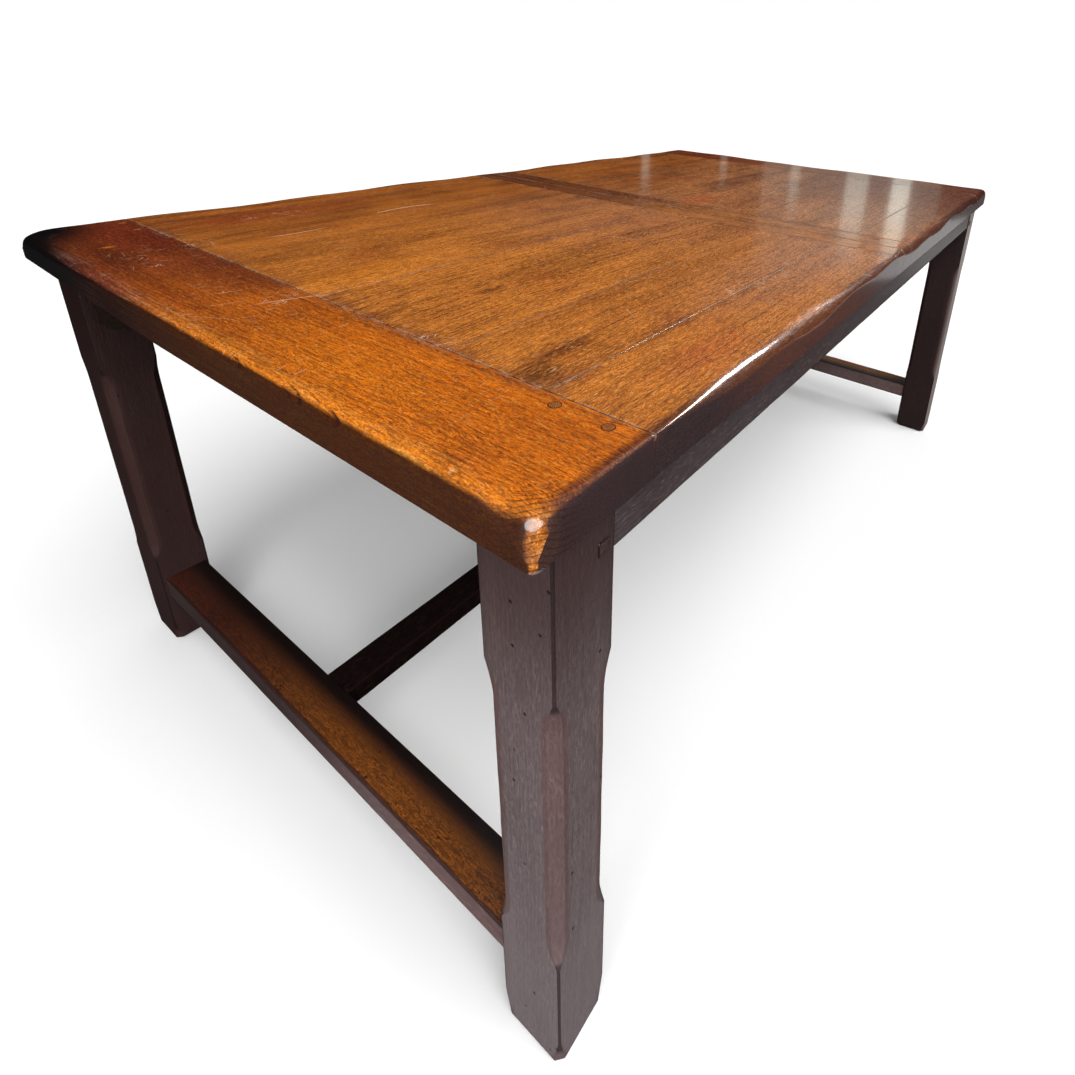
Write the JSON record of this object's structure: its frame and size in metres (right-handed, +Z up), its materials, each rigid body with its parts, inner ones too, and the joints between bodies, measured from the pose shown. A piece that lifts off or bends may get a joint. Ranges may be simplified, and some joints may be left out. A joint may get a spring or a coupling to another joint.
{
  "type": "extending dining table",
  "caption": "Rectangular oak dining table on a pegged leg and stretcher frame, its plank top split across the middle so that the halves slide apart on wooden guides for a leaf.",
  "frame": {"origin": "on the floor, at the middle of the closed table's bounding box", "axes": "+X along the table towards the far end, +Y across it towards the left side as seen from the near end, +Z up"},
  "size_m": [1.83, 1.07, 0.77],
  "materials": {
    "near_top_oak": "waxed, glossy, warm orange-brown",
    "far_top_oak": "waxed, glossy, redder brown",
    "cleat_oak": "waxed, dark purple-brown",
    "peg_oak": "dark end grain",
    "frame_oak": "dark stained, satin, worn",
    "stretcher_oak": "stained, worn through to golden brown on the upper edge",
    "slide_oak": "dark stained, dry"
  },
  "bodies": {
    "frame": {"leg_near_right": "frame_oak", "leg_near_left": "frame_oak", "leg_far_right": "frame_oak", "leg_far_left": "frame_oak", "rail_peg_near_right": "peg_oak", "rail_peg_near_left": "peg_oak", "rail_peg_far_right": "peg_oak", "rail_peg_far_left": "peg_oak", "side_rail_right": "frame_oak", "side_rail_left": "frame_oak", "near_end_stretcher": "stretcher_oak", "far_end_stretcher": "stretcher_oak", "centre_stretcher": "stretcher_oak", "near_outer_bearer": "slide_oak", "near_inner_bearer": "slide_oak", "far_inner_bearer": "slide_oak", "far_outer_bearer": "slide_oak", "slide_guide_right": "slide_oak", "slide_guide_left": "slide_oak"},
    "near_half": {"near_breadboard_end": "near_top_oak", "near_top_board_1": "near_top_oak", "near_top_board_2": "near_top_oak", "near_top_board_3": "near_top_oak", "near_top_board_4": "near_top_oak", "near_top_board_5": "near_top_oak", "near_top_board_6": "near_top_oak", "near_centre_cleat": "cleat_oak", "near_breadboard_peg_1": "peg_oak", "near_breadboard_peg_2": "peg_oak", "near_breadboard_peg_3": "peg_oak", "near_breadboard_peg_4": "peg_oak", "near_cleat_peg_1": "peg_oak", "near_cleat_peg_2": "peg_oak", "near_runner_right": "slide_oak", "near_runner_left": "slide_oak"},
    "far_half": {"far_breadboard_end": "far_top_oak", "far_top_board_1": "far_top_oak", "far_top_board_2": "far_top_oak", "far_top_board_3": "far_top_oak", "far_top_board_4": "far_top_oak", "far_top_board_5": "far_top_oak", "far_top_board_6": "far_top_oak", "far_centre_cleat": "cleat_oak", "far_breadboard_peg_1": "peg_oak", "far_breadboard_peg_2": "peg_oak", "far_breadboard_peg_3": "peg_oak", "far_breadboard_peg_4": "peg_oak", "far_cleat_peg_1": "peg_oak", "far_cleat_peg_2": "peg_oak", "far_runner_right": "slide_oak", "far_runner_left": "slide_oak", "alignment_dowel_1": "peg_oak", "alignment_dowel_2": "peg_oak", "alignment_dowel_3": "peg_oak"}
  },
  "joints": [
    {"name": "near_half_slide", "type": "slide", "parent": "frame", "child": "near_half", "axis": [-1, 0, 0], "range_m": [0, 0.24]},
    {"name": "far_half_slide", "type": "slide", "parent": "frame", "child": "far_half", "axis": [1, 0, 0], "range_m": [0, 0.24]}
  ]
}
